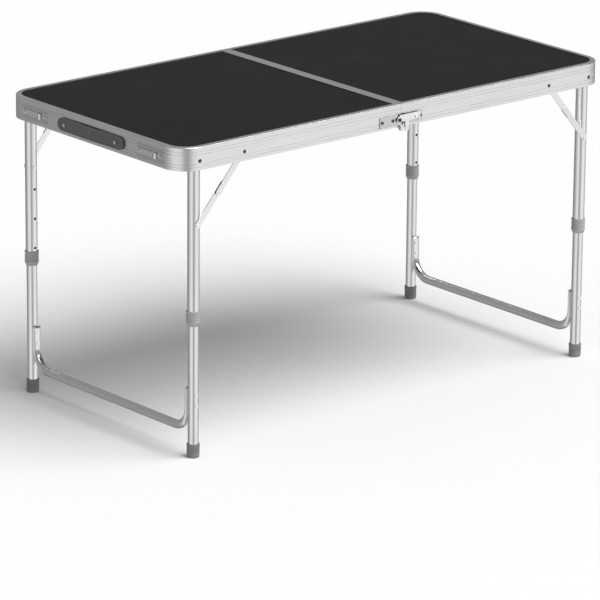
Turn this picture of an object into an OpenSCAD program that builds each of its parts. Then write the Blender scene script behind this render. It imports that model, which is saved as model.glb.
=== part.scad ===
/* [Table] */
// Length of the open table top
table_l = 1200; // [900:10:1600]
// Width of the table top
table_w = 600; // [400:10:900]
// Height of the top above the floor with the legs drawn out
table_h = 680; // [640:5:860]
// Radius of the outer corners of the top
corner_r = 54; // [30:1:120]

/* [Edge rail] */
// Height of the edge rail
rail_h = 50; // [42:1:70]
// Thickness of the rail's upright web
rail_t = 2; // [1.6:0.1:4]
// Width of the flange that laps over the top board
flange_w = 12; // [8:0.5:20]
// Thickness of that flange and of the ledge under the board
lip_t = 1.6; // [1:0.1:3]
// Radius of the rail's outer top edge
edge_r = 2; // [1.6:0.1:2.4]
// Depth of the decorative grooves
groove_d = 0.8; // [0.4:0.1:1]

/* [Top board] */
// Thickness of the laminated board
board_t = 4; // [3:0.5:8]
// Height of the stiffener channel under each board
stiffener_h = 8; // [5:1:10]
// Width of the stiffener channel
stiffener_w = 30; // [20:1:60]

/* [Legs] */
// Distance of the leg pivots past the end of the straight rail, into the corner
leg_past = 4; // [-146:1:94]
// Height of the pivots above the rail's lower edge
pivot_rise = 20; // [17:1:26]
// Diameter of the upper leg tube
leg_d = 26; // [20:0.5:32]
// Wall of all leg tubes
tube_t = 1.2; // [1:0.1:2]
// Clearance round the lower leg tube inside the upper one
tube_gap = 0.3; // [0.1:0.1:3.3]
// Height of the collar's lower edge above the floor
collar_z = 290; // [260:1:360]
// Length of the collar
collar_l = 32; // [24:1:50]
// Length of the foot cap
foot_l = 30; // [20:1:50]
// Diameter of the cross bar
bar_d = 19; // [14:0.5:24]
// Height of the middle of the cross bar
bar_z = 58; // [40:1:90]
// Radius of the cross bar's bends
bar_bend = 46; // [30:1:80]
// Height of the pressed ends of the cross bar
bar_end_z = 152; // [120:1:200]
// Height step between two leg settings
leg_step = 66; // [50:5:90]

/* [Braces] */
// Distance from leg pivot to brace pivot along the rail
brace_x = 119; // [90:1:150]
// Distance from leg pivot to brace rivet down the leg
brace_z = 140; // [100:1:170]
// Width of the brace strips
brace_w = 14; // [10:1:20]
// Thickness of the brace strips
brace_t = 1.5; // [1:0.1:2]

/* [Middle hinge] */
// Length of each hinge plate
plate_l = 60; // [40:1:90]
// Height of each hinge plate
plate_h = 24; // [18:1:30]
// Thickness of the hinge plates
plate_t = 2; // [1:0.1:3]
// Drop of the hinge pin below the rail's lower edge
hinge_drop = 1; // [0.5:0.5:4]
// Diameter of the hinge pin
hinge_d = 6; // [4:0.5:8]

/* [Carry handle and case latches] */
// Length of the carry handle
handle_l = 222; // [160:1:280]
// Height of the carry handle
handle_h = 28; // [20:1:34]
// Thickness of the carry handle
handle_t = 5; // [3:0.5:8]
// Distance of each latch from the middle of the end rail
latch_y = 197; // [120:1:235]
// Length of a latch plate
latch_l = 86; // [70:1:110]
// Height of a latch plate
latch_h = 28; // [20:1:34]

/* [Hidden] */
$fn = 48;
eps = 0.01;

// clearances
run_gap = 0.05;    // a pin in its hole
slip_gap = 0.3;    // sliding pieces and neighbours that pass each other
seam_gap = 0.2;    // from the middle of the table to each seam rail
spacer_t = 1.6;    // washer between rail and upper brace strip
head_t = 1.1;      // height of a flat rivet head

// heights and half sizes
half_l = table_l / 2;
half_w = table_w / 2;
leg_x = half_l - corner_r + leg_past;
rail_z = table_h - rail_h;
board_top = table_h - lip_t;
board_z = board_top - board_t;
board_inset = 2 * edge_r + seam_gap;
pivot_z = rail_z + pivot_rise;
groove_at = [0.14, 0.27, 0.66, 0.79];
groove_w = 1.6;

// layers from the rail's web inwards: washer, upper strip, rivet head, lower strip, leg tube
upper_strip_y = half_w - rail_t - spacer_t - brace_t;
lower_strip_y = upper_strip_y - head_t - run_gap - brace_t;
leg_r = leg_d / 2;
leg_y = lower_strip_y - slip_gap - leg_r;
lower_r = leg_r - tube_t - tube_gap;
collar_r = leg_r + 2.5;
collar_step = 6;
collar_ribs = 3;
foot_r = lower_r + 2.5;
foot_floor = 4;
leg_top = pivot_z + leg_r;
pivot_r = 3;
rivet_r = 2.2;
dome_r = 4.2;
dome_h = 2;

// leg settings
button_r = 3;
button_z = collar_z + collar_l + 8;
lower_top = button_z + 25;
settings = 3;

// brace
brace_c_z = pivot_z - brace_z;
brace_open = sqrt(brace_x * brace_x + brace_z * brace_z);
brace_shut = abs(brace_z - brace_x);
upper_len = (brace_open - brace_shut) / 2;
lower_len = (brace_open + brace_shut) / 2;
brace_tilt = atan2(brace_z, brace_x);
brace_lap = 20;

// cross bar
bar_r = bar_d / 2;
bar_flat = 4;
bar_wide = bar_r + 0.6;
bar_wall = 1.2;
bar_y = leg_y - lower_r - bar_flat;
bar_sides = 20;
bar_steps = 8;
bar_rivet_z = [bar_end_z - 14, bar_end_z - 38];

// middle hinge
hinge_z = rail_z - hinge_drop;
eye_r = hinge_d / 2 + 4;
plate_z = rail_z + 5;
layer_gap = 0.2;
outer_y = half_w + plate_t + layer_gap;
plate_rivets = [24, plate_l - 6];
lock_x = 8;
lock_z = plate_z + plate_h / 2;
lock_stud_x = 40;
lock_end = 50;
lock_rise = 11;
lock_tab = [8, 18];
lock_tab_z = rail_z - 10;
lock_y = outer_y + plate_t + layer_gap;
stud_r = 2.5;

// case latch
latch_t = 1.2;
latch_z = rail_z + rail_h / 2 - 2;
hook_arm = 2 * (latch_z - hinge_z);
hook_w = 12;
hook_t = 2;
barrel_r = 3;
barrel_at = hook_arm + 8;
keeper_r = 3;
latch_pivot = latch_l / 2 - 9;

// handle
handle_z = rail_z + rail_h / 2 - 2;
handle_tab = 34;
handle_gap = 0.8;
handle_stud_y = handle_l / 2 - 24;

function smooth(t) = t * t * (3 - 2 * t);

// children drawn for the left half, or mirrored to the right half
module side(s) { if (s > 0) mirror([1, 0, 0]) children(); else children(); }
// children drawn at the front, or mirrored to the back
module depth(d) { if (d > 0) mirror([0, 1, 0]) children(); else children(); }
module front_and_back() { for (d = [-1, 1]) depth(d) children(); }
// a bar along +Y whose round section is the circle of radius r
module along_y(r, y0, y1) { translate([0, y1, 0]) rotate([90, 0, 0]) cylinder(r = r, h = y1 - y0); }
module along_x(r, x0, x1) { translate([x0, 0, 0]) rotate([0, 90, 0]) cylinder(r = r, h = x1 - x0); }
// a domed rivet head that stands on the plane y = y0 and faces -Y
module dome(y0) {
    translate([0, y0, 0]) rotate([90, 0, 0]) intersection() {
        translate([0, 0, dome_h - dome_ball]) sphere(r = dome_ball);
        cylinder(r = dome_r, h = dome_h + eps);
    }
}
dome_ball = (dome_r * dome_r + dome_h * dome_h) / (2 * dome_h);
// a flat strip with round ends from (0, 0) along +X, w wide
module strip(len, w) {
    translate([0, -w / 2]) square([len, w]);
    circle(d = w);
    translate([len, 0]) circle(d = w);
}

// ---------- edge rail ----------
// section of the rail: x runs inwards from the outer face, y runs up
module rail_section() {
    difference() {
        union() {
            square([rail_t, rail_h - edge_r]);
            translate([edge_r, rail_h - edge_r]) circle(r = edge_r);
            translate([edge_r, rail_h - lip_t]) square([flange_w - edge_r, lip_t]);
            translate([0, rail_h - board_t - 2 * lip_t]) square([flange_w, lip_t]);
        }
        for (g = groove_at) translate([-eps, g * rail_h]) square([groove_d, groove_w]);
    }
}
module rail_front(x0, x1) {
    translate([x0, -half_w, rail_z]) rotate([90, 0, 90]) linear_extrude(x1 - x0) rail_section();
}
module rail_corner() {
    translate([-half_l + corner_r, -half_w + corner_r, rail_z]) rotate([0, 0, 180])
        rotate_extrude(angle = 90) translate([corner_r, 0]) mirror([1, 0]) rail_section();
}
// holes through the front web for the leg pivot, the brace pivot and the hinge plate
module web_hole(x, z, r) {
    translate([x, 0, z]) along_y(r, -half_w - 5, -half_w + rail_t + 2);
}
module rail_holes() {
    web_hole(-leg_x, pivot_z, pivot_r);
    translate([-leg_x, 0, pivot_z]) along_y(dome_r, -half_w - 5, -half_w + groove_d);
    web_hole(-leg_x + brace_x, pivot_z, pivot_r);
    for (p = plate_rivets) web_hole(-p, lock_z, rivet_r);
}
module end_hole(y, z, r) { translate([-half_l, y, z]) along_x(r, -latch_t - 1, rail_t + 1); }
module edge_rail(s) {
    color("lightgray") side(s) difference() {
        union() {
            front_and_back() {
                rail_front(-half_l + corner_r, -seam_gap);
                rail_corner();
            }
            translate([-half_l, half_w - corner_r, rail_z]) rotate([90, 0, 0])
                linear_extrude(table_w - 2 * corner_r) rail_section();
        }
        front_and_back() rail_holes();
        for (d = [-1, 1]) end_hole(d * latch_y - latch_rivet, latch_z, rivet_r);
        for (d = [-1, 1]) end_hole(d * latch_y + latch_pivot, latch_z, stud_r);
    }
}
latch_rivet = latch_l / 2 - 7;

// ---------- seam rail ----------
module seam_rail(s) {
    run = table_w - 2 * flange_w - 2 * seam_gap;
    color("lightgray") side(s) difference() {
        translate([-seam_gap, 0, rail_z]) mirror([1, 0, 0]) translate([0, run / 2, 0])
            rotate([90, 0, 0]) linear_extrude(run) rail_section();
        front_and_back() translate([-seam_gap - rail_t - 1, -bracket_rivet_y, rail_z + rail_h / 3])
            along_x(rivet_r, 0, rail_t + 2);
    }
}
bracket_rivet_y = half_w - flange_w - 14;

// ---------- top board and its stiffener ----------
module board(s) {
    x0 = -half_l + board_inset;
    x1 = -seam_gap - board_inset;
    y0 = half_w - board_inset;
    r = corner_r - board_inset;
    color([0.07, 0.07, 0.07]) side(s) translate([0, 0, board_z]) linear_extrude(board_t - slip_gap / 3) {
        translate([x0 + r, -y0]) square([x1 - x0 - r, 2 * y0]);
        translate([x0, -y0 + r]) square([r + eps, 2 * (y0 - r)]);
        for (d = [-1, 1]) translate([x0 + r, d * (y0 - r)]) circle(r = r);
    }
}
module stiffener(s) {
    reach = half_w - flange_w - seam_gap;
    wall = 1.5;
    color("silver") side(s) translate([-half_l / 2 - stiffener_w / 2, -reach, board_z - stiffener_h])
        difference() {
            cube([stiffener_w, 2 * reach, stiffener_h]);
            translate([wall, -1, wall])
                cube([stiffener_w - 2 * wall, 2 * reach + 2, stiffener_h - 2 * wall]);
        }
}

// ---------- inner corner brackets at the seam ----------
bracket_t = 1.5;
bracket_h = 20;
bracket_arm = 30;
module corner_brackets(s) {
    x1 = -seam_gap - rail_t;
    y0 = -half_w + rail_t;
    color("silver") side(s) front_and_back() difference() {
        union() {
            translate([x1 - bracket_arm, y0, rail_z + 8]) cube([bracket_arm, bracket_t, bracket_h]);
            translate([x1 - bracket_t, y0, rail_z + 8])
                cube([bracket_t, half_w - rail_t - bracket_rivet_y + 8, bracket_h]);
        }
        translate([x1 - bracket_t - 1, -bracket_rivet_y, rail_z + rail_h / 3])
            along_x(rivet_r, 0, bracket_t + 2);
        translate([-plate_rivets[0], 0, lock_z]) along_y(rivet_r, y0 - 1, y0 + bracket_t + 1);
    }
}

// ---------- rivets fixed in each half ----------
// leg pivots, brace pivots with their washers, hinge plate rivets, bracket rivets
module rail_rivets(s) {
    web_in = -half_w + rail_t;
    color("gainsboro") side(s) {
        front_and_back() {
            translate([-leg_x, 0, pivot_z]) {
                dome(-half_w + groove_d);
                along_y(pivot_r, -half_w + groove_d - eps, -leg_y + leg_r + head_t);
                along_y(pivot_r + 2, -leg_y + leg_r + slip_gap, -leg_y + leg_r + slip_gap + head_t);
                along_y(pivot_r + 2, web_in + 1.5, -leg_y - leg_r - slip_gap);
            }
            translate([-leg_x + brace_x, 0, pivot_z]) {
                dome(-half_w);
                along_y(pivot_r, -half_w, -upper_strip_y + head_t);
                along_y(pivot_r + 3, web_in, web_in + spacer_t - run_gap);
                along_y(pivot_r + 2, -upper_strip_y + run_gap, -upper_strip_y + head_t);
            }
            translate([-plate_rivets[0], 0, lock_z]) {
                translate([0, -half_w - plate_t, 0]) along_y(rivet_r + 1.4, -1, 0);
                along_y(rivet_r, -half_w - plate_t, web_in + bracket_t + 1);
            }
            translate([-plate_rivets[1], 0, lock_z]) {
                translate([0, -half_w - plate_t, 0]) along_y(rivet_r + 1.4, -1, 0);
                along_y(rivet_r, -half_w - plate_t, web_in + 1);
                along_y(rivet_r + 1.4, web_in, web_in + 1);
            }
            translate([-seam_gap, -bracket_rivet_y, rail_z + rail_h / 3])
                along_x(rivet_r, -rail_t - bracket_t - 1, 0);
        }
        if (s < 0) front_and_back() translate([-lock_x, 0, lock_z]) {
            along_y(stud_r, -lock_y - plate_t - layer_gap, -half_w);
            along_y(stud_r + 2, -lock_y - plate_t - layer_gap - 1.2, -lock_y - plate_t - layer_gap);
        }
    }
}

// ---------- middle hinge ----------
module plate_outline(x0) {
    translate([x0, plate_z]) square([plate_l - x0, plate_h]);
}
// left plates lie on the rail; their eyes hang below the seam
module hinge_plates_left() {
    color("darkgray") front_and_back() difference() {
        translate([0, -half_w, 0]) rotate([90, 0, 0]) linear_extrude(plate_t) {
            mirror([1, 0]) plate_outline(seam_gap);
            translate([-eye_r, hinge_z]) square([eye_r - seam_gap, plate_z - hinge_z + eps]);
            translate([0, hinge_z]) circle(r = eye_r);
        }
        translate([0, 0, hinge_z]) along_y(hinge_d / 2 + run_gap, -outer_y - 9, -half_w + 1);
        for (p = plate_rivets) web_hole(-p, lock_z, rivet_r);
        web_hole(-lock_x, lock_z, stud_r);
    }
}
// right plates have a joggled ear that laps over the left eye
module hinge_plates_right() {
    joggle = eye_r + 3;
    color("darkgray") mirror([1, 0, 0]) front_and_back() difference() {
        union() {
            translate([0, -half_w, 0]) rotate([90, 0, 0]) linear_extrude(plate_t)
                mirror([1, 0]) plate_outline(joggle);
            translate([0, -outer_y, 0]) rotate([90, 0, 0]) linear_extrude(plate_t) {
                translate([0, hinge_z]) circle(r = eye_r);
                polygon([[0, hinge_z + eye_r], [0, hinge_z - eye_r], [-eye_r, hinge_z],
                    [-joggle - 8, plate_z + 1], [-joggle - 8, plate_z + 10]]);
            }
            translate([-joggle - 8, -outer_y - eps, plate_z]) cube([7, plate_t, plate_h / 2 - 2]);
        }
        translate([0, 0, hinge_z]) along_y(hinge_d / 2 + run_gap, -outer_y - 9, -half_w + 1);
        for (p = plate_rivets) web_hole(-p, lock_z, rivet_r);
        web_hole(-lock_stud_x, lock_z, stud_r);
    }
}
module hinge_pins() {
    color("silver") front_and_back() translate([0, 0, hinge_z]) {
        along_y(hinge_d / 2, -outer_y - plate_t - layer_gap, -half_w - slip_gap);
        along_y(hinge_d / 2 + 1.5, -outer_y - plate_t - layer_gap - 1.5, -outer_y - plate_t - layer_gap);
    }
}
// hook that turns on the left plate and drops over the stud of the right plate
module lock_hook(d) {
    notch = [lock_stud_x - stud_r - slip_gap, lock_stud_x + stud_r + 3.8];
    color("gainsboro") depth(d) translate([0, -lock_y, 0]) rotate([90, 0, 0])
        linear_extrude(plate_t) difference() {
            union() {
                translate([-lock_x, lock_z]) circle(r = stud_r + 4.5);
                translate([-lock_x, lock_z - 4]) square([lock_end + lock_x, lock_rise + 4]);
                translate([notch[1], lock_z - 8]) square([lock_end - notch[1], 9]);
                translate([lock_tab[0], lock_tab_z + 5])
                    square([lock_tab[1] - lock_tab[0], lock_z - lock_tab_z - 5]);
                translate([(lock_tab[0] + lock_tab[1]) / 2, lock_tab_z + 5])
                    circle(d = lock_tab[1] - lock_tab[0]);
            }
            translate([-lock_x, lock_z]) circle(r = stud_r + run_gap);
            translate([notch[0], lock_z - 20]) square([notch[1] - notch[0], 20 + stud_r + slip_gap]);
        }
}
module lock_studs() {
    head_y = -lock_y - plate_t - layer_gap;
    color("silver") front_and_back() translate([lock_stud_x, 0, lock_z]) {
        along_y(stud_r, head_y, -half_w);
        along_y(stud_r + 1.5, head_y - 1.2, head_y);
    }
}

// ---------- case latches on the left end ----------
module latch_plates() {
    color("silver") for (d = [-1, 1]) difference() {
        translate([-half_l - latch_t, d * latch_y - latch_l / 2, latch_z - latch_h / 2])
            cube([latch_t, latch_l, latch_h]);
        end_hole(d * latch_y - latch_rivet, latch_z, rivet_r);
        end_hole(d * latch_y + latch_pivot, latch_z, stud_r);
    }
}
module latch_rivets() {
    x0 = -half_l - latch_t;
    x1 = x0 - hook_t - 2 * slip_gap;
    color("gainsboro") for (d = [-1, 1]) {
        translate([0, d * latch_y - latch_rivet, latch_z]) {
            along_x(rivet_r, x0, -half_l + rail_t + 1);
            along_x(rivet_r + 1.6, x0 - 1.4, x0);
            along_x(rivet_r + 1.6, -half_l + rail_t, -half_l + rail_t + 1);
        }
        translate([0, d * latch_y + latch_pivot, latch_z]) {
            along_x(stud_r, x1, -half_l + rail_t + 1);
            along_x(stud_r + 2.5, x1 - 1.4, x1);
            along_x(stud_r + 1.5, -half_l + rail_t, -half_l + rail_t + 1);
        }
    }
}
// stowed along the rail; a quarter turn drops it over the keeper of the other half
module latch_hook(d) {
    slot_w = 2 * (keeper_r + slip_gap);
    x0 = -half_l - latch_t - slip_gap;
    color("gainsboro") translate([x0, d * latch_y + latch_pivot, latch_z]) difference() {
        union() {
            rotate([90, 0, -90]) linear_extrude(hook_t) strip(hook_arm + 4, hook_w);
            translate([-barrel_r, -barrel_at, -hook_w / 2]) cylinder(r = barrel_r, h = hook_w);
        }
        translate([-barrel_r, -barrel_at, -hook_w]) cylinder(r = barrel_r - 1, h = 2 * hook_w);
        along_x(stud_r + run_gap, -hook_t - 1, 1);
        translate([0, -hook_arm, 0]) along_x(slot_w / 2, -hook_t - 1, 1);
        translate([-hook_t - 1, -hook_arm - slot_w / 2, -hook_w]) cube([hook_t + 2, slot_w, hook_w]);
    }
}
module latch_keepers() {
    x0 = half_l;
    x1 = x0 + latch_t + hook_t + 2 * slip_gap;
    pad = 2 * hook_w;
    color("silver") for (d = [-1, 1]) translate([0, d * latch_y + latch_pivot, latch_z]) {
        translate([x0, -pad / 2, -pad / 2]) cube([latch_t, pad, pad]);
        along_x(keeper_r, x0 + latch_t - eps, x1);
        along_x(keeper_r + 2, x1, x1 + 3);
    }
}

// ---------- carry handle ----------
// stadium outline cut to the span y0 .. y1
module handle_outline(y0, y1) {
    intersection() {
        translate([-handle_l / 2 + handle_h / 2, 0]) strip(handle_l - handle_h, handle_h);
        translate([y0, -handle_h]) square([y1 - y0, 2 * handle_h]);
    }
}
module handle_slab(y0, y1) {
    translate([-half_l - handle_gap, 0, handle_z]) rotate([90, 0, -90]) linear_extrude(handle_t)
        handle_outline(y0, y1);
}
module handle_tabs() {
    color([0.35, 0.36, 0.37]) front_and_back() difference() {
        handle_slab(handle_l / 2 - handle_tab, handle_l / 2 + 1);
        translate([-half_l - handle_gap - handle_t - 1, -handle_stud_y, handle_z])
            along_x(rivet_r, 0, handle_t + 2);
    }
}
module handle_grip() {
    reach = handle_l / 2 - handle_tab - slip_gap;
    color([0.35, 0.36, 0.37]) handle_slab(-reach, reach);
}
module handle_studs() {
    x0 = -half_l - handle_gap - handle_t;
    color("white") for (d = [-1, 1]) translate([0, d * handle_stud_y, handle_z]) {
        along_x(rivet_r, x0, -half_l);
        along_x(rivet_r + 1.6, x0 - 1.5, x0);
        along_x(rivet_r + 2.4, -half_l - handle_gap, -half_l);
    }
}

// ---------- legs ----------
// children placed on the axis of the front leg of the left half
module at_leg() { translate([-leg_x, -leg_y, 0]) children(); }
module tube(r, z0, z1) {
    translate([0, 0, z0]) difference() {
        cylinder(r = r, h = z1 - z0);
        translate([0, 0, -1]) cylinder(r = r - tube_t, h = z1 - z0 + 2);
    }
}
module leg_tube(s, d) {
    color("silver") side(s) depth(d) at_leg() difference() {
        tube(leg_r, collar_z + collar_step, leg_top - 2);
        translate([0, 0, pivot_z]) along_y(pivot_r + run_gap, -leg_d, leg_d);
        translate([0, 0, brace_c_z]) along_y(rivet_r, -leg_d, leg_d);
        for (i = [0 : settings - 1]) translate([0, 0, button_z + i * leg_step])
            along_y(button_r + run_gap, 0, leg_d);
    }
}
module leg_plugs(s) {
    color([0.12, 0.12, 0.12]) side(s) front_and_back() at_leg() difference() {
        union() {
            translate([0, 0, leg_top - 2]) cylinder(r = leg_r, h = 2);
            translate([0, 0, leg_top - 8]) cylinder(r = leg_r - tube_t, h = 6 + eps);
        }
        translate([0, 0, pivot_z]) along_y(pivot_r + slip_gap, -leg_d, leg_d);
    }
}
module leg_collars(s) {
    color([0.5, 0.5, 0.5]) side(s) front_and_back() at_leg() difference() {
        union() {
            translate([0, 0, collar_z + collar_step]) cylinder(r = collar_r, h = collar_l - collar_step);
            translate([0, 0, collar_z]) cylinder(r1 = lower_r + 1.5, r2 = collar_r, h = collar_step);
        }
        translate([0, 0, collar_z - 1]) cylinder(r = lower_r + run_gap, h = collar_l + 2);
        translate([0, 0, collar_z + collar_step]) cylinder(r = leg_r, h = collar_l);
        for (i = [1 : collar_ribs]) translate([0, 0, collar_z + collar_l - 5 * i]) difference() {
            cylinder(r = collar_r + 1, h = 1.5);
            cylinder(r = collar_r - 0.6, h = 1.5);
        }
    }
}
// rivets that hold the lower brace strips to the upper tubes
module leg_rivets(s) {
    color("gainsboro") side(s) front_and_back() translate([-leg_x, 0, brace_c_z]) {
        along_y(rivet_r, -lower_strip_y - brace_t, -leg_y + leg_r);
        along_y(rivet_r + 1.6, -lower_strip_y - brace_t - head_t, -lower_strip_y - brace_t - run_gap);
        translate([0, -leg_y + leg_r, 0]) along_y(rivet_r + 1.6, 0, head_t);
    }
}
module lower_tube(s, d) {
    color("silver") side(s) depth(d) at_leg() difference() {
        tube(lower_r, foot_floor, lower_top);
        translate([0, 0, button_z]) along_y(button_r + run_gap, 0, 2 * lower_r);
        for (z = bar_rivet_z) translate([0, 0, z]) along_y(rivet_r, -2 * lower_r, 2 * lower_r);
    }
}
module feet(s) {
    color([0.35, 0.35, 0.35]) side(s) front_and_back() at_leg() difference() {
        union() {
            cylinder(r1 = foot_r - 1, r2 = foot_r, h = 1);
            translate([0, 0, 1]) cylinder(r = foot_r, h = foot_l - 1);
        }
        translate([0, 0, foot_floor]) cylinder(r = lower_r, h = foot_l);
    }
}
// half section sizes along the bar: flat where pressed, round in the run
function bar_a(t) = bar_wide + (bar_r - bar_wide) * smooth(min(1, t * 1.5));
function bar_b(t) = bar_flat + (bar_r - bar_flat) * smooth(min(1, t * 1.5));
// stations from the pressed end to the middle: [y, z, turn, half width, half thickness]
bar_bend_z = bar_z + bar_bend;
bar_half = concat(
    [[bar_y, bar_end_z, 180, bar_wide, bar_flat]],
    [for (i = [0 : bar_steps]) let (t = i / bar_steps, a = 90 * t)
        [bar_y - bar_bend * (1 - cos(a)), bar_bend_z - bar_bend * sin(a), 180 - a, bar_a(t), bar_b(t)]]);
bar_n = len(bar_half);
bar_path = concat(
    [for (p = bar_half) [-p[0], p[1], 180 - p[2], p[3], p[4]]],
    [for (i = [bar_n - 1 : -1 : 0]) bar_half[i]]);
// ring of points round a station, thinned by w
function bar_ring(p, w, over) = [for (k = [0 : bar_sides - 1])
    let (q = 360 * k / bar_sides, a = (p[3] - w) * cos(q), b = (p[4] - w) * sin(q))
    [a, p[0] + b * cos(p[2]), p[1] + over + b * sin(p[2])]];
module bar_skin(w, over) {
    n = len(bar_path);
    rings = [for (i = [0 : n - 1]) bar_ring(bar_path[i], w, (i == 0 || i == n - 1) ? over : 0)];
    points = [for (r = rings) for (p = r) p];
    sides = [for (i = [0 : n - 2]) for (k = [0 : bar_sides - 1])
        let (m = (k + 1) % bar_sides, a = i * bar_sides, b = a + bar_sides)
        [a + k, a + m, b + m, b + k]];
    ends = [[for (k = [bar_sides - 1 : -1 : 0]) k], [for (k = [0 : bar_sides - 1]) (n - 1) * bar_sides + k]];
    polyhedron(points = points, faces = concat(sides, ends), convexity = 6);
}
module foot_bar(s) {
    color("silver") side(s) translate([-leg_x, 0, 0]) difference() {
        bar_skin(0, 0);
        bar_skin(bar_wall, 1);
        front_and_back() for (z = bar_rivet_z) translate([0, 0, z])
            along_y(rivet_r, -leg_y, -bar_y + bar_r);
    }
}
module bar_rivets(s) {
    color("gainsboro") side(s) front_and_back() for (z = bar_rivet_z) translate([-leg_x, 0, z]) {
        along_y(rivet_r, -leg_y - lower_r, -bar_y + bar_flat);
        along_y(rivet_r + 1.6, -leg_y - lower_r - head_t, -leg_y - lower_r);
        along_y(rivet_r + 1.6, -bar_y + bar_flat, -bar_y + bar_flat + head_t);
    }
}
// push button with its collar inside the tube, drawn pressed flush under the upper tube
button_in = 3;
button_end = sqrt((leg_r - tube_t) * (leg_r - tube_t) - button_r * button_r) - run_gap;
module button(s, d) {
    color("silver") side(s) depth(d) at_leg() translate([0, 0, button_z]) {
        along_y(button_r, button_in, button_end);
        along_y(button_r + 1.5, button_in, button_in + 1.5);
    }
}
// leaf spring folded inside the lower tube behind the button
module button_springs(s) {
    leaf_w = 8;
    leaf_t = 0.8;
    inner_r = lower_r - tube_t;
    back_y = -sqrt(inner_r * inner_r - leaf_w * leaf_w / 4) + eps;
    front_y = button_in - leaf_t - 0.2;
    color("gray") side(s) front_and_back() at_leg() translate([-leaf_w / 2, 0, button_z]) {
        translate([0, back_y, -16]) cube([leaf_w, leaf_t, 34]);
        translate([0, back_y, -16]) cube([leaf_w, front_y - back_y, leaf_t]);
        translate([0, front_y - leaf_t, -16]) cube([leaf_w, leaf_t, 20]);
        translate([0, front_y - leaf_t, -3]) cube([leaf_w, 2 * leaf_t, 6]);
    }
}

// ---------- braces ----------
module strip_plate(len, y, w) {
    translate([0, -y, 0]) rotate([90, 0, 0]) linear_extrude(brace_t) strip(len, w);
}
// upper strip: from the rail's pivot to the knuckle, lapping on down the lower strip
module brace_upper(s) {
    color("whitesmoke") side(s) front_and_back() translate([-leg_x + brace_x, 0, pivot_z])
        difference() {
            rotate([0, 180 - brace_tilt, 0]) {
                strip_plate(upper_len + brace_lap, upper_strip_y, brace_w);
            }
            along_y(pivot_r + run_gap, -half_w, 0);
            rotate([0, 180 - brace_tilt, 0]) translate([upper_len, 0, 0]) along_y(rivet_r, -half_w, 0);
        }
}
module brace_lower(s) {
    color("whitesmoke") side(s) front_and_back() translate([-leg_x, 0, brace_c_z])
        difference() {
            rotate([0, -brace_tilt, 0]) strip_plate(lower_len, lower_strip_y, brace_w);
            along_y(rivet_r + run_gap, -half_w, 0);
        }
}
// domed rivets set in the upper strips at the knuckle
module knuckle_rivets(s) {
    color("gainsboro") side(s) front_and_back() translate([-leg_x + brace_x, 0, pivot_z])
        rotate([0, 180 - brace_tilt, 0]) translate([upper_len, 0, 0]) {
            along_y(rivet_r, -upper_strip_y - brace_t, -upper_strip_y);
            along_y(rivet_r + 1.4, -upper_strip_y - brace_t - 1, -upper_strip_y - brace_t);
        }
}

edge_rail(-1);  // edge_rail_left
seam_rail(-1);  // seam_rail_left
board(-1);  // board_left
stiffener(-1);  // stiffener_left
corner_brackets(-1);  // corner_brackets_left
rail_rivets(-1);  // rail_rivets_left
edge_rail(1);  // edge_rail_right
seam_rail(1);  // seam_rail_right
board(1);  // board_right
stiffener(1);  // stiffener_right
corner_brackets(1);  // corner_brackets_right
rail_rivets(1);  // rail_rivets_right
hinge_plates_left();
hinge_plates_right();
hinge_pins();
lock_hook(-1);  // lock_hook_front
lock_hook(1);  // lock_hook_back
lock_studs();
latch_plates();
latch_hook(-1);  // latch_hook_front
latch_hook(1);  // latch_hook_back
latch_rivets();
latch_keepers();
handle_tabs();
handle_grip();
handle_studs();
leg_tube(-1, -1);  // leg_tube_left_front
leg_tube(-1, 1);  // leg_tube_left_back
leg_plugs(-1);  // leg_plugs_left
leg_collars(-1);  // leg_collars_left
leg_rivets(-1);  // leg_rivets_left
lower_tube(-1, -1);  // lower_tube_left_front
lower_tube(-1, 1);  // lower_tube_left_back
foot_bar(-1);  // foot_bar_left
feet(-1);  // feet_left
bar_rivets(-1);  // bar_rivets_left
button_springs(-1);  // button_springs_left
button(-1, -1);  // button_left_front
button(-1, 1);  // button_left_back
brace_upper(-1);  // brace_upper_left
brace_lower(-1);  // brace_lower_left
knuckle_rivets(-1);  // knuckle_rivets_left
leg_tube(1, -1);  // leg_tube_right_front
leg_tube(1, 1);  // leg_tube_right_back
leg_plugs(1);  // leg_plugs_right
leg_collars(1);  // leg_collars_right
leg_rivets(1);  // leg_rivets_right
lower_tube(1, -1);  // lower_tube_right_front
lower_tube(1, 1);  // lower_tube_right_back
foot_bar(1);  // foot_bar_right
feet(1);  // feet_right
bar_rivets(1);  // bar_rivets_right
button_springs(1);  // button_springs_right
button(1, -1);  // button_right_front
button(1, 1);  // button_right_back
brace_upper(1);  // brace_upper_right
brace_lower(1);  // brace_lower_right
knuckle_rivets(1);  // knuckle_rivets_right
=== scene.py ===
# %% [markdown]
# # A folding table, finished in Blender
# The shapes that carry load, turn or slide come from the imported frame. This file gives them their
# finishes and adds the pieces that need a softer shape than sheet and tube: the strap handle, the
# ribbed collars, the rubber feet and the bent cross bars. Everything is in metres, in the frame's
# own axes: X along the table, Y across it, Z up from the floor.

# %% Load the frame
import math
import bmesh
import bpy
import numpy as np
from mathutils import Matrix, Vector


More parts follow.
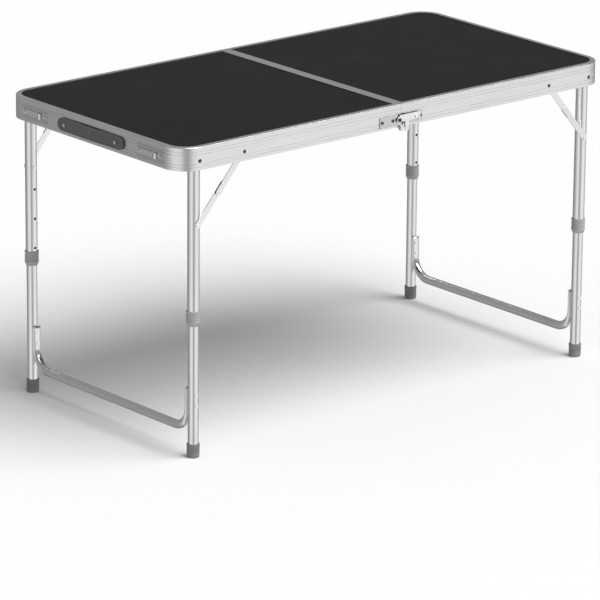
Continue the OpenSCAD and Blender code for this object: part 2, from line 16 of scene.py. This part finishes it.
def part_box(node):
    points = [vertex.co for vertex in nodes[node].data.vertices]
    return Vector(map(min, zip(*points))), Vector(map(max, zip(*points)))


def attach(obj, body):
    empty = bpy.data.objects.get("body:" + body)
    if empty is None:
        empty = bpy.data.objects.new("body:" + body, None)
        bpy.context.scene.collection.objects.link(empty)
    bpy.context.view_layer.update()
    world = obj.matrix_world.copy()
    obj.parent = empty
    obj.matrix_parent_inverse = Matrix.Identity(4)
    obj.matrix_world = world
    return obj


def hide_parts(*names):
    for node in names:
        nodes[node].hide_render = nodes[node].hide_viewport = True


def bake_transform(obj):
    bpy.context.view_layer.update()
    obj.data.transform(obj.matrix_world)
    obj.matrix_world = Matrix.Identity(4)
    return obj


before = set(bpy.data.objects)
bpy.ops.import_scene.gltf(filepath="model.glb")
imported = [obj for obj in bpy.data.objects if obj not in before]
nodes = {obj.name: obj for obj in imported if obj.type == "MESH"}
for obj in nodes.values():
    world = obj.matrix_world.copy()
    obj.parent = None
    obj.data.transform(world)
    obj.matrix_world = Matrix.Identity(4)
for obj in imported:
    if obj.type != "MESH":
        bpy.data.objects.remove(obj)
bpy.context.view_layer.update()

# %% [markdown]
# ## Where the camera stands
# The table is seen from its left front corner, from a little above. A long lens far away keeps the
# rails almost parallel, as a catalogue view does. The camera is given by the direction it looks in,
# its roll and its distance from a point in the middle of the table.

# %% Camera
YAW = math.radians(-40.256)
PITCH = math.radians(17.344)
ROLL = math.radians(0.5)
DISTANCE = 10.5
AIM = np.array([0.0, 0.0, 0.400])
OFFSET_RIGHT = -0.0194
OFFSET_UP = -0.2197
SENSOR = 36.0
LENS = 287.5


def camera_axes(yaw, pitch, roll):
    """Right, up and forward of a camera turned by yaw about Z, tipped down by pitch, then rolled."""
    forward = np.array([-math.sin(yaw) * math.cos(pitch), math.cos(yaw) * math.cos(pitch), -math.sin(pitch)])
    level = np.array([math.cos(yaw), math.sin(yaw), 0.0])
    upright = np.cross(level, forward)
    right = math.cos(roll) * level + math.sin(roll) * upright
    up = -math.sin(roll) * level + math.cos(roll) * upright
    return right, up, forward


right, up, forward = camera_axes(YAW, PITCH, ROLL)
camera_data = bpy.data.cameras.new("camera")
camera_data.lens = LENS
camera_data.sensor_width = SENSOR
camera_data.clip_end = 60.0
camera = bpy.data.objects.new("camera", camera_data)
bpy.context.scene.collection.objects.link(camera)
place = AIM + OFFSET_RIGHT * right + OFFSET_UP * up - DISTANCE * forward
turn = Matrix((right, up, -forward)).transposed()
camera.matrix_world = Matrix.Translation(Vector(place)) @ turn.to_4x4()
bpy.context.scene.camera = camera
print("camera at", [round(float(v), 3) for v in place])

# %% [markdown]
# ## Floor and light
# Bright metal shows the room around it. A wide soft sun from the front right lights the pale floor
# evenly and makes the long rail the brightest side. On an all-white floor polished tube would turn
# flat white, so the surroundings are a soft ring of lighter and darker walls, as in a metalware
# studio: dark behind the table, grey at its end, bright at its front. The floor is left out of
# reflections, so the tubes show that ring along their whole length.


# %% Floor, sun and surroundings
def plain_material(name, colour, rough):
    """A material of one shader for things that are not part of the object."""
    material = bpy.data.materials.new(name)
    material.use_nodes = True
    shader = material.node_tree.nodes["Principled BSDF"]
    shader.inputs["Base Color"].default_value = (*colour, 1.0)
    shader.inputs["Roughness"].default_value = rough
    return material


def stage_quad(name, corners, material):
    """A flat four-cornered stage piece."""
    mesh = bpy.data.meshes.new(name)
    mesh.from_pydata([tuple(c) for c in corners], [], [(0, 1, 2, 3)])
    mesh.materials.append(material)
    made = bpy.data.objects.new(name, mesh)
    bpy.context.scene.collection.objects.link(made)
    return made


HALF_FLOOR = 15.0
floor_corners = [(-HALF_FLOOR, -HALF_FLOOR, 0), (HALF_FLOOR, -HALF_FLOOR, 0)]
floor_corners += [(HALF_FLOOR, HALF_FLOOR, 0), (-HALF_FLOOR, HALF_FLOOR, 0)]
floor = stage_quad("floor", floor_corners, plain_material("floor_paper", (0.92, 0.92, 0.92), 0.95))
floor.visible_glossy = False

sun_data = bpy.data.lights.new("sun", "SUN")
sun_data.energy = 2.85
sun_data.angle = math.radians(50.0)
sun = bpy.data.objects.new("sun", sun_data)
sun_from = Vector((0.35, -0.75, 1.35))
sun.matrix_world = (-sun_from).to_track_quat("-Z", "Y").to_matrix().to_4x4()
bpy.context.scene.collection.objects.link(sun)

# brightness of the studio's surroundings by bearing in degrees (0 is +X, 90 is +Y)
BEARINGS = [(0, 0.55), (30, 0.30), (55, 0.20), (95, 0.30), (128, 0.34), (150, 0.50), (180, 0.95), (212, 0.92),
            (232, 0.42), (250, 0.45), (268, 0.95), (305, 1.05), (330, 0.85), (360, 0.55)]
ABOVE = 0.32

world = bpy.data.worlds.new("studio")
world.use_nodes = True
studio = world.node_tree
sky = studio.nodes["Background"]
direction = studio.nodes.new("ShaderNodeTexCoord")
split = studio.nodes.new("ShaderNodeSeparateXYZ")
studio.links.new(direction.outputs["Object"], split.inputs[0])
bearing = studio.nodes.new("ShaderNodeMath")
bearing.operation = "ARCTAN2"
studio.links.new(split.outputs["Y"], bearing.inputs[0])
studio.links.new(split.outputs["X"], bearing.inputs[1])
turns = studio.nodes.new("ShaderNodeMath")
turns.operation = "MULTIPLY_ADD"
turns.inputs[1].default_value = 1.0 / (2.0 * math.pi)
turns.inputs[2].default_value = 1.0
studio.links.new(bearing.outputs[0], turns.inputs[0])
wrap = studio.nodes.new("ShaderNodeMath")
wrap.operation = "FRACT"
studio.links.new(turns.outputs[0], wrap.inputs[0])
bands = studio.nodes.new("ShaderNodeValToRGB")
stops = bands.color_ramp.elements
for degrees, grey in BEARINGS[1:-1]:
    stops.new(degrees / 360.0).color = (grey, grey, grey, 1.0)
for stop, (degrees, grey) in ((stops[0], BEARINGS[0]), (stops[len(stops) - 1], BEARINGS[-1])):
    stop.color = (grey, grey, grey, 1.0)
studio.links.new(wrap.outputs[0], bands.inputs[0])
rise = studio.nodes.new("ShaderNodeMapRange")
rise.inputs["From Min"].default_value = -0.10
rise.inputs["From Max"].default_value = 0.15
studio.links.new(split.outputs["Z"], rise.inputs["Value"])
level = studio.nodes.new("ShaderNodeMix")
level.data_type = "RGBA"
level.inputs[7].default_value = (ABOVE, ABOVE, ABOVE, 1.0)
studio.links.new(rise.outputs["Result"], level.inputs[0])
studio.links.new(bands.outputs[0], level.inputs[6])
studio.links.new(level.outputs[2], sky.inputs["Color"])
sky.inputs["Strength"].default_value = 1.0
bpy.context.scene.world = world
bpy.context.scene.view_settings.view_transform = "Standard"

# %% [markdown]
# ## How a finish is built
# Each finish is a small tree of nodes that reads the piece's own position. A stretched noise gives
# the drawing lines of metal, a fine one gives grain, and a broad one gives the uneven film of wear
# and handling. Their sums drive colour, roughness and a bump. The same helper makes every finish,
# so a finish is only a list of its own numbers.


# %% Helper for finishes
def build_finish(name, light, dark, rough, grain_scale, grain_height, metal=0.0, stretch=(1, 1, 1), wear=0.3,
                 bump=0.15, streaks=0.0, edge=None, sockets=None):
    """A Principled shader whose colour runs from dark to light with broad noise and fine grain."""
    material = bpy.data.materials.new(name)
    material.use_nodes = True
    tree = material.node_tree
    shader = tree.nodes["Principled BSDF"]

    def node(kind, **values):
        made = tree.nodes.new(kind)
        for key, value in values.items():
            if hasattr(made, key):
                setattr(made, key, value)
            else:
                made.inputs[key].default_value = value
        return made

    def wire(a, out, b, into):
        tree.links.new(a.outputs[out], b.inputs[into])

    coord = node("ShaderNodeTexCoord")
    mapping = node("ShaderNodeMapping")
    mapping.inputs["Scale"].default_value = stretch
    wire(coord, "Object", mapping, "Vector")
    fine = node("ShaderNodeTexNoise")
    fine.inputs["Scale"].default_value = grain_scale
    fine.inputs["Detail"].default_value = 4.0
    wire(mapping, "Vector", fine, "Vector")
    broad = node("ShaderNodeTexNoise")
    broad.inputs["Scale"].default_value = 9.0
    broad.inputs["Detail"].default_value = 5.0
    wire(coord, "Object", broad, "Vector")
    blend = node("ShaderNodeMix", data_type="FLOAT")
    blend.inputs[0].default_value = 0.45 if streaks <= 0 else streaks
    tree.links.new(broad.outputs["Fac"], blend.inputs[2])
    tree.links.new(fine.outputs["Fac"], blend.inputs[3])
    ramp = node("ShaderNodeValToRGB")
    ramp.color_ramp.elements[0].position = 0.32
    ramp.color_ramp.elements[1].position = 0.68
    ramp.color_ramp.elements[0].color = (*dark, 1.0)
    ramp.color_ramp.elements[1].color = (*light, 1.0)
    tree.links.new(blend.outputs[0], ramp.inputs["Fac"])
    colour = ramp
    colour_out = "Color"
    # Sharp convex edges, found by pointiness, are mixed toward the edge colour: a painted highlight along the
    # handle's rim, scuffing on the rubber feet, a lighter grey on the collars' edges.
    if edge is not None:
        geometry = node("ShaderNodeNewGeometry")
        sharp = node("ShaderNodeMapRange")
        sharp.inputs["From Min"].default_value = 0.53
        sharp.inputs["From Max"].default_value = 0.66
        wire(geometry, "Pointiness", sharp, "Value")
        edge_scuff_and_highlight = node("ShaderNodeMix", data_type="RGBA")
        tree.links.new(sharp.outputs["Result"], edge_scuff_and_highlight.inputs[0])
        tree.links.new(ramp.outputs["Color"], edge_scuff_and_highlight.inputs[6])
        edge_scuff_and_highlight.inputs[7].default_value = (*edge, 1.0)
        colour = edge_scuff_and_highlight
        colour_out = 2
    tree.links.new(colour.outputs[colour_out], shader.inputs["Base Color"])
    spread = node("ShaderNodeMapRange")
    spread.inputs["From Min"].default_value = 0.3
    spread.inputs["From Max"].default_value = 0.7
    spread.inputs["To Min"].default_value = max(0.02, rough * (1.0 - wear))
    spread.inputs["To Max"].default_value = min(1.0, rough * (1.0 + wear))
    tree.links.new(blend.outputs[0], spread.inputs["Value"])
    tree.links.new(spread.outputs["Result"], shader.inputs["Roughness"])
    relief = node("ShaderNodeBump")
    relief.inputs["Strength"].default_value = bump
    relief.inputs["Distance"].default_value = grain_height
    tree.links.new(fine.outputs["Fac"], relief.inputs["Height"])
    tree.links.new(relief.outputs["Normal"], shader.inputs["Normal"])
    shader.inputs["Metallic"].default_value = metal
    for key, value in (sockets or {}).items():
        shader.inputs[key].default_value = value
    return material


# %% [markdown]
# ## The finishes
# The rails and tubes are drawn aluminium with a clear anodised film: pale, with lines along their
# length. The hinge and latch plates are zinc plated sheet, mottled and a little darker. The strips
# and rivets are bright plated steel. The board is a matt black laminate with a very fine pebble
# that breaks up the light without showing as a pattern. Collars and handle are moulded plastic, the
# feet are rubber, matt and scuffed.
# The handle's rim is lightened as a painted highlight.

# %% Finishes
finishes = {
    "rail": build_finish("anodised_rail", (0.80, 0.81, 0.82), (0.70, 0.71, 0.72), 0.27, 900.0, 0.0001, metal=1.0,
                         stretch=(0.02, 0.02, 1.0), wear=0.15, bump=0.12, streaks=0.8),
    "tube": build_finish("anodised_tube", (0.83, 0.84, 0.85), (0.74, 0.75, 0.76), 0.20, 900.0, 0.0001, metal=1.0,
                         stretch=(1.0, 1.0, 0.02), wear=0.15, bump=0.08, streaks=0.8),
    "bar": build_finish("anodised_bar", (0.83, 0.84, 0.85), (0.74, 0.75, 0.76), 0.20, 800.0, 0.0001, metal=1.0,
                        stretch=(1.0, 0.02, 1.0), wear=0.15, bump=0.08, streaks=0.8),
    "zinc": build_finish("zinc_plate", (0.72, 0.73, 0.74), (0.52, 0.53, 0.55), 0.34, 260.0, 0.0002, metal=1.0,
                         wear=0.4, bump=0.2, streaks=0.35),
    "bright": build_finish("bright_plating", (0.90, 0.90, 0.90), (0.74, 0.74, 0.75), 0.18, 700.0, 0.0001, metal=1.0,
                           wear=0.5, bump=0.12),
    "strip": build_finish("rolled_strip", (0.86, 0.86, 0.87), (0.70, 0.70, 0.71), 0.22, 600.0, 0.0001, metal=1.0,
                          stretch=(0.6, 1.0, 0.6), wear=0.4, bump=0.18, streaks=0.5),
    "rivet": build_finish("dark_rivet", (0.12, 0.12, 0.125), (0.06, 0.06, 0.063), 0.30, 700.0, 0.0001, metal=1.0,
                          wear=0.3, bump=0.1),
    "spring": build_finish("spring_leaf", (0.25, 0.27, 0.31), (0.10, 0.11, 0.13), 0.32, 600.0, 0.0001, metal=1.0,
                           wear=0.4, bump=0.1),
    "board": build_finish("black_laminate", (0.0085, 0.0082, 0.0083), (0.0060, 0.0058, 0.0059), 0.50, 1500.0, 0.00012,
                          wear=0.12, bump=0.10, sockets={"Specular IOR Level": 0.12}),
    # the collar's edge colour is a lighter grey than its plastic
    "collar": build_finish("grey_plastic", (0.42, 0.43, 0.44), (0.31, 0.32, 0.33), 0.42, 900.0, 0.0002,
                           wear=0.25, bump=0.2, edge=(0.45, 0.46, 0.47)),
    "plug": build_finish("black_plastic", (0.035, 0.035, 0.036), (0.018, 0.018, 0.019), 0.45, 900.0, 0.0002,
                         wear=0.25, bump=0.2),
    "rubber": build_finish("foot_rubber", (0.26, 0.26, 0.265), (0.17, 0.17, 0.175), 0.72, 520.0, 0.0005,
                           wear=0.2, bump=0.45, edge=(0.22, 0.22, 0.22)),
    # the handle's edge colour, far lighter than its dark plastic, is a painted highlight along its rim
    "handle": build_finish("handle_plastic", (0.105, 0.110, 0.115), (0.060, 0.064, 0.068), 0.38, 850.0, 0.0002,
                           wear=0.3, bump=0.2, edge=(0.26, 0.27, 0.28)),
    "button": build_finish("button_black", (0.020, 0.020, 0.021), (0.010, 0.010, 0.011), 0.40, 900.0, 0.0001,
                           wear=0.3, bump=0.1),
}
print("finishes:", len(finishes))

# %% [markdown]
# ## Which node gets which finish
# A node's name starts with the kind of piece it is, so one short table covers all of them.

# %% Give the nodes their finishes
FINISH_OF = {
    "edge_rail": "rail", "seam_rail": "rail", "stiffener": "rail", "board": "board", "corner_brackets": "zinc",
    "rail_rivets": "rivet", "hinge_plates": "zinc", "hinge_pins": "bright", "lock_hook": "bright",
    "lock_studs": "bright", "latch_plates": "zinc", "latch_hook": "bright", "latch_rivets": "bright",
    "latch_keepers": "zinc", "handle_tabs": "handle", "handle_grip": "handle", "handle_studs": "bright",
    "leg_tube": "tube", "leg_plugs": "plug", "leg_collars": "collar", "leg_rivets": "bright",
    "lower_tube": "tube", "foot_bar": "bar", "feet": "rubber", "bar_rivets": "bright",
    "button_springs": "spring", "button_left": "button", "button_right": "button",
    "brace_upper": "strip", "brace_lower": "strip", "knuckle_rivets": "bright",
}
for name, obj in nodes.items():
    kind = max((k for k in FINISH_OF if name.startswith(k)), key=len)
    if not obj.material_slots:
        obj.data.materials.append(None)
    for s in obj.material_slots:
        s.material = finishes[FINISH_OF[kind]]
print("every node has a finish")

# %% [markdown]
# ## Surfaces from arrays
# The remaining pieces are rounder than sheet and tube, so each is a grid of points worked out in one
# go. The grid becomes quads, its doubled seam and poles are merged, and the faces are turned outward.


# %% Grid to mesh
def surface_piece(name, points, finish, body, wrap_rows=False, wrap_columns=True):
    """A mesh from a rows x columns x 3 grid: each cell is one quad, and the open ends are closed flat."""
    rows, columns = points.shape[:2]
    index = np.arange(rows * columns).reshape(rows, columns)
    if wrap_columns:
        index = np.concatenate([index, index[:, :1]], axis=1)
    if wrap_rows:
        index = np.concatenate([index, index[:1]], axis=0)
    quads = np.stack([index[:-1, :-1], index[:-1, 1:], index[1:, 1:], index[1:, :-1]], axis=-1).reshape(-1, 4)
    faces = quads.tolist()
    if not wrap_rows:
        faces.append(index[0, :columns][::-1].tolist())
        faces.append(index[-1, :columns].tolist())
    mesh = bpy.data.meshes.new(name)
    mesh.from_pydata(points.reshape(-1, 3).tolist(), [], faces)
    work = bmesh.new()
    work.from_mesh(mesh)
    bmesh.ops.remove_doubles(work, verts=work.verts, dist=1e-6)
    bmesh.ops.recalc_face_normals(work, faces=work.faces)
    work.to_mesh(mesh)
    work.free()
    mesh.shade_smooth()
    mesh.materials.append(finishes[finish])
    made = bpy.data.objects.new(name, mesh)
    bpy.context.scene.collection.objects.link(made)
    if body:
        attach(made, body)
    return made


def revolve(profile, centre, steps=48):
    """Carries a profile of (radius, height) pairs round the vertical axis through centre."""
    angle = np.linspace(0.0, 2.0 * math.pi, steps, endpoint=False)
    radius, height = np.array(profile).T
    ring_x = centre[0] + radius[:, None] * np.cos(angle)
    ring_y = centre[1] + radius[:, None] * np.sin(angle)
    ring_z = np.repeat(height[:, None], steps, axis=1)
    return np.stack([ring_x, ring_y, ring_z], axis=-1)


def round_corner(centre, radius, start, stop, steps=6):
    """Points of an arc in the profile plane, from start to stop degrees."""
    a = np.radians(np.linspace(start, stop, steps))
    return [(centre[0] + radius * math.cos(v), centre[1] + radius * math.sin(v)) for v in a]


def middle_of(node):
    """The middle of a node's box in X and Y."""
    lower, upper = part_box(node)
    return (lower[0] + upper[0]) / 2, (lower[1] + upper[1]) / 2


SIDES = ("left", "right")
DEPTHS = ("front", "back")

# %% [markdown]
# ## Rubber feet
# Each lower tube ends in a moulded cap of dark rubber. It tapers a little towards the floor, has a
# softly rounded lower edge and a thin lip at its mouth where it grips the tube. A profile turned
# round the tube's axis gives all of that. The cap runs up inside no further than its own wall, since
# the tube fills it.

# %% Feet
FOOT_GROOVES = (0.40, 0.55)
for side in SIDES:
    feet = []
    low_corner, high_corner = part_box("feet_" + side)
    height = high_corner[2] - low_corner[2]
    for depth in DEPTHS:
        tube = "lower_tube_%s_%s" % (side, depth)
        tube_low, tube_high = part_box(tube)
        tube_r = (tube_high[0] - tube_low[0]) / 2
        cap_r = (high_corner[0] - low_corner[0]) / 2
        profile = [(tube_r * 0.2, 0.0), (cap_r - 0.0030, 0.0)]
        profile += round_corner((cap_r - 0.0030, 0.0022), 0.0022, -80, 0)
        for share in FOOT_GROOVES:
            z = height * share
            profile += [(cap_r - 0.0003, z - 0.0010), (cap_r - 0.0010, z - 0.0003)]
            profile += [(cap_r - 0.0010, z + 0.0003), (cap_r - 0.0003, z + 0.0010)]
        profile += [(cap_r - 0.0002, height - 0.0050), (cap_r, height - 0.0042)]
        profile += round_corner((cap_r - 0.0012, height - 0.0012), 0.0012, 0, 90)
        profile += [(tube_r, height), (tube_r, height - 0.0100), (tube_r * 0.2, height - 0.0100)]
        grid = revolve(profile, middle_of(tube))
        name = "foot_cap_%s_%s" % (side, depth)
        feet.append(surface_piece(name, grid, "rubber", side + "_leg_lower", wrap_rows=True))
    for cap in feet:
        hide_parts("feet_" + side)
print("feet:", 4)

# %% [markdown]
# ## Ribbed collars
# The collar that guides the lower tube is moulded grey plastic: a cone below, then rounded ribs that
# give the fingers a hold. The ribs follow the rule: radius is the wall's radius less a shallow scoop,
# which is a cosine of the height, so the edges stay soft.

# %% Collars
RIBS = 4
SCOOP = 0.0011
for side in SIDES:
    low_corner, high_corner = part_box("leg_collars_" + side)
    bottom, top = low_corner[2], high_corner[2]
    outer_r = (high_corner[0] - low_corner[0]) / 2
    for depth in DEPTHS:
        upper_low, upper_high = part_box("leg_tube_%s_%s" % (side, depth))
        lower_low, lower_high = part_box("lower_tube_%s_%s" % (side, depth))
        upper_r = (upper_high[0] - upper_low[0]) / 2
        lower_r = (lower_high[0] - lower_low[0]) / 2 + 0.0002
        seat = upper_low[2]
        ribbed = np.linspace(seat + 0.004, top - 0.003, 60)
        share = (ribbed - ribbed[0]) / (ribbed[-1] - ribbed[0])
        scoop = SCOOP * (0.5 - 0.5 * np.cos(2.0 * math.pi * RIBS * share)) ** 0.7
        profile = [(lower_r, bottom), (lower_r + 0.0012, bottom)]
        profile += [(outer_r - 0.0006, seat), (outer_r, seat + 0.0010), (outer_r, seat + 0.0030)]
        profile += list(zip(outer_r - scoop, ribbed))
        profile += round_corner((outer_r - 0.0010, top - 0.0010), 0.0010, 0, 90)
        profile += [(upper_r, top), (upper_r, seat), (lower_r, seat)]
        grid = revolve(profile, middle_of("leg_tube_%s_%s" % (side, depth)))
        name = "collar_%s_%s" % (side, depth)
        collar = surface_piece(name, grid, "collar", side + "_leg_upper", wrap_rows=True)
        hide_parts("leg_collars_" + side)
print("collars:", 4, "height of one:", round(float(top - bottom), 4))

# %% [markdown]
# ## Cross bars
# One length of tube joins the feet of each leg pair. It is bent up at both ends, and the ends are
# pressed flat so that two rivets can hold them to the lower tubes. The pressing fades out over the
# bend. The bar is an ellipse carried along a path: its two half widths run smoothly from flat to
# round, and it always stands square to the path.

# %% Cross bars
BEND_R = 0.046
PRESSED_W = 0.0101
PRESSED_T = 0.0040
ROUND_R = 0.0095


def ease(t):
    """A smooth step from 0 to 1."""
    t = np.clip(t, 0.0, 1.0)
    return t * t * (3.0 - 2.0 * t)


def cross_bar_path(reach, top, low):
    """Stations from one pressed end to the other: y, z, turn from the vertical, share of roundness."""
    straight = np.linspace(top, low + BEND_R, 14)
    turn = np.linspace(0.0, math.pi / 2, 26)[1:]
    y = np.concatenate([np.full(14, reach), reach - BEND_R * (1 - np.cos(turn))])
    z = np.concatenate([straight, low + BEND_R - BEND_R * np.sin(turn)])
    t = np.concatenate([np.zeros(14), turn])
    roundness = ease((np.arange(len(y)) - 9.0) / 22.0)
    run = np.linspace(reach - BEND_R, 0.0, 10)[1:]
    y = np.concatenate([y, run])
    z = np.concatenate([z, np.full(9, low)])
    t = np.concatenate([t, np.full(9, math.pi / 2)])
    roundness = np.concatenate([roundness, np.ones(9)])
    half = np.stack([y, z, math.pi - t, roundness], axis=1)
    other = half[:-1] * np.array([-1.0, 1.0, 1.0, 1.0])
    other[:, 2] = math.pi - other[:, 2]
    return np.concatenate([half, other[::-1]])


around = np.linspace(0.0, 2.0 * math.pi, 28, endpoint=False)
for side in SIDES:
    bar_low, bar_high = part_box("foot_bar_" + side)
    centre_x = (bar_low[0] + bar_high[0]) / 2
    reach = bar_high[1] - PRESSED_T
    low_line = bar_low[2] + ROUND_R
    path = cross_bar_path(reach, bar_high[2] - 0.0004, low_line)
    y, z, turn, full = [path[:, k][:, None] for k in range(4)]
    wide = PRESSED_W + (ROUND_R - PRESSED_W) * full
    thick = PRESSED_T + (ROUND_R - PRESSED_T) * full
    end_round = np.minimum(1.0, 0.55 + np.minimum(np.arange(len(path)), np.arange(len(path))[::-1]) * 0.15)
    grid_x = centre_x + wide * np.cos(around) + 0 * y
    lift = thick * np.sin(around) * np.sqrt(end_round)[:, None]
    grid_y = y + lift * np.cos(turn)
    grid_z = z + lift * np.sin(turn)
    grid = np.stack([grid_x, grid_y, grid_z], axis=-1)
    bar = surface_piece("cross_bar_" + side, grid, "bar", side + "_leg_lower")
    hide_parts("foot_bar_" + side)
print("cross bars:", 2, "reach:", round(float(reach), 4))

# %% [markdown]
# ## Strap handle
# The carry handle is a strip of dark flexible plastic with a thicker bead round its rim. Two studs
# hold its ends flat against the rail, and between them it bows outward a little so that fingers can
# slip behind it. Each half of the strip is a surface of its own: its ends stay on the rail, and the
# middle bows out, bending smoothly in between.

# %% Handle
tab_low, tab_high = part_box("handle_tabs")
grip_low, grip_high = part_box("handle_grip")
end_y = tab_high[1]
half_h = (tab_high[2] - tab_low[2]) / 2
mid_z = (tab_high[2] + tab_low[2]) / 2
face_x = tab_high[0]
HANDLE_BOW = 0.0022
STRIP_T = 0.0036
BEAD_T = 0.0012


def strap_half(sign):
    """Half a strap: a rounded strip section carried from the middle to one end, its height a stadium."""
    along = np.concatenate([np.linspace(0.0, end_y - half_h, 40), end_y - half_h
                            + half_h * np.sin(np.linspace(0.0, math.pi / 2, 18))[1:] * 0.998])
    over = np.clip((along - (end_y - half_h)) / half_h, 0.0, 1.0)
    tall = half_h * np.sqrt(np.maximum(1.0 - over ** 2, 0.0))
    bow = HANDLE_BOW * (1.0 - ease(along / (end_y - 0.030)))
    loop = np.linspace(0.0, 2.0 * math.pi, 40, endpoint=False)
    z_share = np.sign(np.cos(loop)) * np.abs(np.cos(loop)) ** 0.22
    x_share = np.sign(np.sin(loop)) * np.abs(np.sin(loop)) ** 0.22
    bead = BEAD_T * ease((np.abs(z_share) - 0.72) / 0.18)[None, :]
    near_end = BEAD_T * ease((over - 0.55) / 0.3)[:, None]
    half_t = STRIP_T / 2 + np.maximum(bead, near_end) / 2
    x = face_x - STRIP_T / 2 - BEAD_T / 2 - bow[:, None] + half_t * x_share[None, :]
    y = np.repeat((sign * along)[:, None], 40, axis=1)
    z = mid_z + tall[:, None] * z_share[None, :]
    return np.stack([x, y, z], axis=-1)


for sign, word in ((-1, "front"), (1, "back")):
    strap = surface_piece("handle_strap_" + word, strap_half(sign), "handle", None)
    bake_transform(strap)
    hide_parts("handle_tabs", "handle_grip")
print("handle length:", round(float(2 * end_y), 4))
